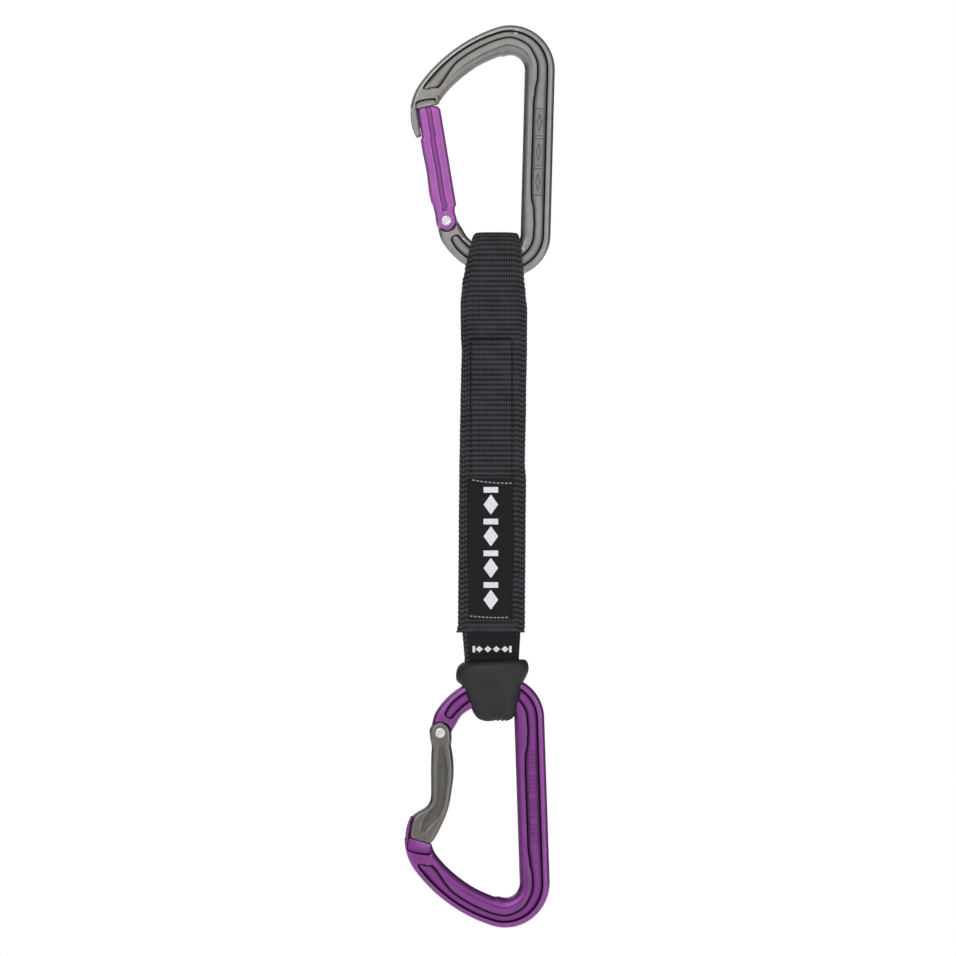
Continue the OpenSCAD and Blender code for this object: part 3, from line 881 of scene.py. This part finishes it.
def sling_path():
    """The sling's middle line as (y, z) points, up the front, over the bar, down the back."""
    step = RIB / 7
    side = [(-MID_Y, HEM_Z), (-MID_Y, JOIN_Z - 3)]
    for t in spread(0.06, 1, 14):
        # the leg leaves the body softly and meets the loop as it turns upright
        z = JOIN_Z + (BAR_Z - JOIN_Z) * t
        y = -MID_Y - (LOOP_R - MID_Y) * smooth(t * 0.98) * (1 + 0.05 * math.sin(math.pi * t))
        side.append((y, z))
    over = [(LOOP_R * math.cos(math.radians(a)), BAR_Z + LOOP_RISE * math.sin(math.radians(a)))
            for a in spread(176, 90, 22)]
    half = side + over
    whole = half + [(-y, z) for y, z in reversed(half[:-1])]
    return resample(whole, step)


def resample(line, step):
    """Evenly spaced points along a polyline of any dimension."""
    lengths = [0]
    for a, b in zip(line, line[1:]):
        lengths.append(lengths[-1] + math.dist(a, b))
    count = max(2, round(lengths[-1] / step))
    made, k = [], 0
    for s in spread(0, lengths[-1], count):
        while k < len(line) - 2 and lengths[k + 1] < s:
            k += 1
        t = (s - lengths[k]) / (lengths[k + 1] - lengths[k])
        made.append(tuple(p + (q - p) * t for p, q in zip(line[k], line[k + 1])))
    return made


def selvedge(inset):
    """1 in the bound border of the webbing, where the ribs step along by SHIFT."""
    return smooth((inset + 2.3) / 0.5)


def strip(path, left, right, thick, rib, wave, bow=None, across=30, start=0.0):
    """Points, faces and cloth places of webbing along a (y, z) path.

    left and right give the selvedges at a height, rib and wave the height of the
    cross ribs and of the selvedge scallops, bow(x, z) a shift away from the core.
    """
    loops, cloth, s = [], [], start
    for i, (y, z) in enumerate(path):
        before, after = path[max(i - 1, 0)], path[min(i + 1, len(path) - 1)]
        run = math.dist(before, after)
        ty, tz = (after[0] - before[0]) / run, (after[1] - before[1]) / run
        ny, nz = -tz, ty      # points out of the loop
        if i:
            s += math.dist(path[i - 1], path[i])
        edge_beat = math.sin(math.pi * (s + SHIFT) / RIB) ** 2
        x0, x1 = left(z) - wave * edge_beat, right(z) + wave * edge_beat
        mid, half = (x0 + x1) / 2, (x1 - x0) / 2
        loop = []
        places = []
        for side in (1, -1):
            for k in range(across + 1):
                u = -1 + 2 * k / across if side > 0 else 1 - 2 * k / across
                u = math.sin(u * math.pi / 2) * 0.35 + u * 0.65
                rim = max((abs(u) - 1 + 1.1 / half) / (1.1 / half), 0)
                t = thick / 2 * math.sqrt(max(0.0, 1 - rim * rim * 0.96))
                border = selvedge(abs(u) * half - half)
                beat = abs(math.sin(math.pi * (s + SHIFT * border) / RIB))
                lift = rib * (beat ** 1.2 - 0.5)
                out = side * (t + (lift if side > 0 else lift * 0.6) * (1 - rim))
                x = mid + u * half
                shift = bow(x, z, side) if bow else 0
                loop.append((x, y + ny * (out + shift), z + nz * (out + shift)))
                places.append((x * MM, (s + SHIFT * selvedge(abs(u) * half - half)) * MM, side))
        loops.append(loop)
        cloth += places
    points, faces = loft(loops)
    return points, faces, cloth


def stitches(rows, length, width, thick, gap_share=0.3):
    """Short raised threads along each row, a list of (start, end, out) points."""
    parts = []
    for a, b, out in rows:
        a, b, out = Vector(a), Vector(b), Vector(out)
        along = (b - a).normalized()
        side = along.cross(out).normalized()
        count = max(1, round((b - a).length / length))
        for i in range(count):
            p = a + (b - a) * ((i + gap_share / 2) / count)
            q = a + (b - a) * ((i + 1 - gap_share / 2) / count)
            loops = []
            for t in spread(0, 1, 6):
                swell = math.sqrt(max(0.03, 1 - (2 * t - 1) ** 4))
                centre = p + (q - p) * t + out * (thick * (swell - 0.75))
                loops.append([
                    tuple(centre + (side * math.cos(w) * width / 2
                                    + out * math.sin(w) * thick * 0.7) * swell)
                    for w in (math.radians(d) for d in spread(0, 360, 8)[:-1])
                ])
            parts.append(loft(loops))
    return join_parts(parts)


def cloth_piece(name, made, material, angle=50):
    points, faces, cloth = made
    return mesh_piece(name, points, faces, [material], angle, {"cloth": cloth})


STITCH_X = (-15.0, 1.2)
TACK_Z = -110.9


def build_sling():
    left = lambda z: blend_between(WEB_LEFT, z)
    right = lambda z: blend_between(WEB_RIGHT, z)

    def bow(x, z, side):
        # the selvedges curl in towards the bar, and the sewn middle is drawn down
        curl = -0.9 * smooth((z + 92) / 12) * (abs(x + 5.3) / 10.5) ** 4
        # inside, the two layers are sewn face to face
        dip = -0.28 * smooth((-112 - z) / 4) if side < 0 else 0.0
        if side > 0:
            for row in STITCH_X:
                crease = 0.35 * math.exp(-((x - row) / 0.55) ** 2)
                dip -= crease * smooth((-111 - z) / 2) * smooth((z + 166) / 2)
            if -15.4 < x < 1.6:
                dip -= 0.5 * math.exp(-((z - TACK_Z) / 0.75) ** 2)
        return curl + dip

    made = strip(sling_path(), left, right, WEB_T, 0.36, 0.42, bow)
    sling = cloth_piece("sling_webbing", made, WEBBING)
    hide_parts("sling_top_eye", "sling_front_layer", "sling_back_layer")
    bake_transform(sling)

    face = PLY_GAP + WEB_T + 0.02
    rows = [((STITCH_X[0], y, TACK_Z), (STITCH_X[1], y, TACK_Z), (0, math.copysign(1, y), 0))
            for y in (-face, face)]
    tack = mesh_piece("bar_tack_thread", *stitches(rows, 1.25, 1.0, 0.34, 0.16), [DARK_THREAD])
    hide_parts("top_bar_tack")
    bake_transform(tack)

    rows = [((x, y, -111.6), (x, y, -163.4), (0, math.copysign(1, y), 0))
            for x in STITCH_X for y in (-face, face)]
    side = mesh_piece("side_stitch_thread", *stitches(rows, 1.9, 0.6, 0.24), [DARK_THREAD])
    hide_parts("side_stitching")
    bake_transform(side)


build_sling()


def bowed_rows(ends, sag, face, pieces=5):
    """Rows for stitches() along a line that sags by sag between its two ends."""
    (x0, z0), (x1, z1) = ends
    points = [(x0 + (x1 - x0) * t, face, z0 + (z1 - z0) * t - sag * 4 * t * (1 - t))
              for t in spread(0, 1, pieces)]
    return [(a, b, (0, -1, 0)) for a, b in zip(points, points[1:])]


LABEL_X, LABEL_Z = (-16.0, 1.6), (-220.4, -165.2)
LABEL_T = 0.5


def label_bow(x, z, side):
    """How far the large label lifts off the sling between its two stitched ends."""
    t = (z - LABEL_Z[0]) / (LABEL_Z[1] - LABEL_Z[0])
    u = (x - LABEL_X[0]) / (LABEL_X[1] - LABEL_X[0])
    lift = 0.4 * smooth(t / 0.1) * smooth((1 - t) / 0.1) * math.sin(math.pi * min(max(u, 0), 1)) ** 0.6
    ripple = 0.06 * math.sin(t * 17 + 2 * u) + 0.04 * math.sin(t * 41)
    return lift + ripple - 0.12 * (1 - smooth(t / 0.03)) - 0.12 * (1 - smooth((1 - t) / 0.03))


def woven_shape(left, right, z0, z1):
    """A white woven patch lying on the large label."""
    y = -(PLY_GAP + WEB_T + LABEL_T + 0.06)
    path = [(y, z) for z in spread(z0, z1, 24)]
    points, faces, _ = strip(path, left, right, 0.12, 0, 0, label_bow, 8)
    return points, faces


def build_labels():
    left = lambda z: LABEL_X[0] + 0.25 * math.sin(z * 0.11) - 0.2 * smooth((z + 175) / 8)
    right = lambda z: LABEL_X[1] + 0.2 * math.sin(z * 0.13 + 1) + 0.5 * smooth((z + 172) / 6)
    y = -(PLY_GAP + WEB_T + LABEL_T / 2)
    path = [(y, z) for z in spread(*LABEL_Z, 110)]
    made = strip(path, left, right, LABEL_T, 0, 0.03, label_bow, 26)
    label = cloth_piece("large_label_cloth", made, LABEL_CLOTH)
    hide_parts("large_label")
    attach(label, "sling_lower")

    # a plain row of lozenges and bars
    middle, half, count = -7.1, 2.85, 4
    z0, z1 = -217.6, -168.2
    pitch = (z1 - z0) / count
    shapes = []
    for i in range(count):
        low_z, high_z = z0 + i * pitch + 1.3, z0 + (i + 1) * pitch - 3.6
        centre, reach = (low_z + high_z) / 2, (high_z - low_z) / 2
        spare = lambda z, c=centre, r=reach: half * (1 - abs(z - c) / r * 0.94)
        shapes.append(woven_shape(lambda z, f=spare: middle - f(z),
                                  lambda z, f=spare: middle + f(z), low_z, high_z))
        shapes.append(woven_shape(lambda z: middle - half, lambda z: middle + half,
                                  high_z + 0.9, high_z + 3.1))
    mark = mesh_piece("large_label_pattern", *join_parts(shapes), [LABEL_WHITE])
    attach(mark, "sling_lower")

    face = -(PLY_GAP + WEB_T + LABEL_T + 0.02)
    rows = (bowed_rows(((-14.6, -165.9), (1.3, -167.2)), 0.45, face)
            + bowed_rows(((-15.4, -218.9), (-0.2, -219.5)), 0.3, face))
    thread = mesh_piece("large_label_thread", *stitches(rows, 1.6, 0.5, 0.26, 0.12), [LIGHT_THREAD])
    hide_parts("large_label_stitching")
    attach(thread, "sling_lower")


def band(x0, x1, half_y, z0, z1, rows, power=5.0, n=72):
    """A flat band standing between two heights, as loops round the Z axis."""
    loops = []
    for i, z in enumerate(spread(z0, z1, rows)):
        wave = 0.05 * math.sin(i * 2.4)
        widen = 0.06 * max(z + 235, 0)
        loops.append(rounded_loop(x0 - wave - widen, x1 + wave + widen, half_y, z, power, n))
    return loops


def rounded_loop(x0, x1, half_y, z, power, n=72):
    loop = []
    for a in spread(0, 360, n)[:-1]:
        c, s = math.cos(math.radians(a)), math.sin(math.radians(a))
        scale = (abs(c) ** power + abs(s) ** power) ** (-1 / power)
        loop.append(((x0 + x1) / 2 + (x1 - x0) / 2 * c * scale, half_y * s * scale, z))
    return loop


def build_neck():
    path = [(0, z) for z in spread(-244.5, -222, 90)]
    left = lambda z: -17.3 - 0.09 * max(z + 235, 0)
    right = lambda z: 3.7 + 0.06 * max(z + 235, 0)
    made = strip(path, left, right, 2 * (PLY_GAP + WEB_T) - 0.3, 0.2, 0.15)
    neck = cloth_piece("neck_webbing", made, WEBBING)
    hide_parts("sling_neck", "sling_lower_eye")
    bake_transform(neck)

    half_y = PLY_GAP + WEB_T + 0.35
    loops = band(-16.9, 3.9, half_y, -236.4, -225.2, 40)
    inner = band(-16.5, 3.5, half_y - 0.35, -225.2, -236.4, 40)
    points, faces = loft(loops + inner, closed=True)
    cloth = [(x * MM, z * MM, 1.0) for x, _, z in points]
    label = mesh_piece("small_label_cloth", points, faces, [LABEL_CLOTH], 50, {"cloth": cloth})
    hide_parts("small_label")
    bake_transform(label)

    # a row of four lozenges between two bars
    y = -half_y - 0.02
    z0, z1 = -233.1, -230.6
    shapes = []
    for x in spread(-11.6, -1.6, 3):
        outline = [(x - 1.45, (z0 + z1) / 2), (x, z1), (x + 1.45, (z0 + z1) / 2), (x, z0)]
        shapes.append(loft([[(px, y + d, pz) for px, pz in outline] for d in (0.05, -0.1)]))
    for x in (-14.2, 0.0):
        outline = [(x, z0), (x, z1), (x + 1.0, z1), (x + 1.0, z0)]
        shapes.append(loft([[(px, y + d, pz) for px, pz in outline] for d in (0.05, -0.1)]))
    mark = mesh_piece("small_label_pattern", *join_parts(shapes), [LABEL_WHITE])
    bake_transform(mark)


# Height, left, right and half depth of the keeper, from its rim to its foot
KEEPER = [
    (-236.6, -17.8, 5.6, 6.2), (-236.9, -18.7, 6.6, 7.4), (-237.9, -19.8, 7.3, 8.3), (-239.6, -20.5, 7.7, 8.8),
    (-241.5, -20.7, 7.5, 8.9), (-243.2, -20.6, 6.7, 8.85), (-244.4, -20.0, 5.9, 8.7), (-245.3, -18.9, 5.4, 8.55),
    (-246.4, -18.2, 5.2, 8.4), (-250.5, -16.5, 4.4, 8.1), (-254.6, -14.9, 3.5, 7.9), (-256.6, -14.0, 2.8, 7.5),
    (-257.8, -13.0, 2.0, 6.9), (-258.8, -11.6, 0.8, 5.6), (-259.4, -9.6, -1.0, 3.6),
]


KEEPER_TILT = 0.05


def build_keeper():
    slot = (-17.9, 4.4, 3.3)
    loops = [rounded_loop(slot[0], slot[1], slot[2], z, 4) for z in spread(-243.5, -237.4, 6)]
    loops.append(rounded_loop(slot[0] - 0.25, slot[1] + 0.25, slot[2] + 0.3, -236.9, 4))
    loops.append(rounded_loop(slot[0] - 0.3, slot[1] + 0.6, slot[2] + 1.2, -236.6, 4))
    columns = [[(row[0], row[k]) for row in reversed(KEEPER)] for k in (1, 2, 3)]
    for z in spread(KEEPER[0][0], KEEPER[-1][0], 70):
        left, right, depth = (linear_between(c, z) for c in columns)
        ring = rounded_loop(left, right, depth, z, 3.0)
        # shallow moulded folds down the taper, and a scalloped foot
        low_part = smooth((-246 - z) / 4)
        foot = smooth((-256 - z) / 3)
        shaped = []
        for i, (x, y, zz) in enumerate(ring):
            fold = 1 - 0.012 * low_part * math.cos(i / len(ring) * 12 * math.pi)
            nub = 0.9 * foot * (math.sin(i / len(ring) * 16 * math.pi) ** 2 - 0.4)
            shaped.append((-7 + (x + 7) * fold, y * fold, zz - nub))
        loops.append(shaped)
    # the rim stands a little higher on the spine's side
    loops = [[(x, y, z + KEEPER_TILT * (x + 7) * smooth((z + 247) / 5)) for x, y, z in loop]
             for loop in loops]
    points, faces = loft(loops)
    keeper = mesh_piece("rubber_keeper_visual", points, faces, [RUBBER], 60)
    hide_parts("rubber_keeper")
    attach(keeper, "lower_carabiner")


build_labels()
build_neck()
build_keeper()


# ---------------------------------------------------------------- camera, light and floor

low, high = cad_box
PHOTO_CENTRE = Vector((-0.0121, 0, (low[2] + high[2]) / 2 - 0.0006))
VIEW_WIDTH = 0.3728
LENS, SENSOR = 200, 36


def camera():
    data = bpy.data.cameras.new("camera")
    data.lens = LENS
    data.sensor_width = SENSOR
    data.clip_end = 50
    cam = bpy.data.objects.new("camera", data)
    cam.location = PHOTO_CENTRE + Vector((0, -VIEW_WIDTH * LENS / SENSOR, 0))
    cam.rotation_euler = (math.radians(90), 0, 0)
    bpy.context.scene.collection.objects.link(cam)
    bpy.context.scene.camera = cam


def area_light(name, place, size, power):
    data = bpy.data.lights.new(name, "AREA")
    data.shape = "RECTANGLE"
    data.size, data.size_y = size
    data.energy = power
    lamp = bpy.data.objects.new(name, data)
    lamp.location = PHOTO_CENTRE + Vector(place)
    lamp.rotation_euler = (-Vector(place)).to_track_quat("-Z", "Y").to_euler()
    bpy.context.scene.collection.objects.link(lamp)


def surroundings():
    """White backdrop for the camera, with softer grey surroundings for reflections."""
    world = bpy.data.worlds.new("studio")
    bpy.context.scene.world = world
    world.use_nodes = True
    tree = world.node_tree
    out = tree.nodes["World Output"]
    room = tree.nodes["Background"]
    source = add_node(tree, "ShaderNodeTexCoord")
    split = add_node(tree, "ShaderNodeSeparateXYZ")
    tree.links.new(source.outputs["Generated"], split.inputs[0])
    front = maths(tree, "MULTIPLY", split.outputs[1], -0.5)
    height = maths(tree, "MULTIPLY", split.outputs[2], 0.16)
    facing = maths(tree, "ADD", maths(tree, "ADD", front, 0.5), height)
    greys = [(0.2, (0.05, 0.05, 0.05)), (0.62, (0.3, 0.3, 0.31)), (0.95, (1, 1, 1))]
    tree.links.new(ramp(tree, facing, greys), room.inputs["Color"])
    room.inputs["Strength"].default_value = 0.9
    seen = add_node(tree, "ShaderNodeBackground", Color=(1, 1, 1, 1), Strength=1.0)
    rays = add_node(tree, "ShaderNodeLightPath")
    choose = add_node(tree, "ShaderNodeMixShader")
    tree.links.new(rays.outputs["Is Camera Ray"], choose.inputs[0])
    tree.links.new(room.outputs[0], choose.inputs[1])
    tree.links.new(seen.outputs[0], choose.inputs[2])
    tree.links.new(choose.outputs[0], out.inputs["Surface"])


FLOOR_HALF = 2.4  # metres
FLOOR_DROP = 0.25


def floor():
    """A plain pale floor, well below the hanging object."""
    half = FLOOR_HALF / MM
    z = (low[2] - FLOOR_DROP) / MM
    corners = [(-half, -half, z), (half, -half, z), (half, half, z), (-half, half, z)]
    material, _, shader = new_material("pale_floor")
    shader.inputs["Base Color"].default_value = (0.86, 0.86, 0.86, 1)
    shader.inputs["Emission Color"].default_value = (1, 1, 1, 1)
    shader.inputs["Emission Strength"].default_value = 0.45
    shader.inputs["Roughness"].default_value = 0.8
    mesh_piece("floor", corners, [(0, 1, 2, 3)], [material])


camera()
surroundings()
floor()
area_light("key", (-0.5, -1.5, 0.8), (1.2, 1.2), 7)
area_light("fill", (1.0, -1.1, 0.0), (0.6, 1.2), 3)
area_light("back", (-0.7, 1.5, 0.9), (1.2, 1.2), 5)
bpy.context.scene.view_settings.view_transform = "Standard"
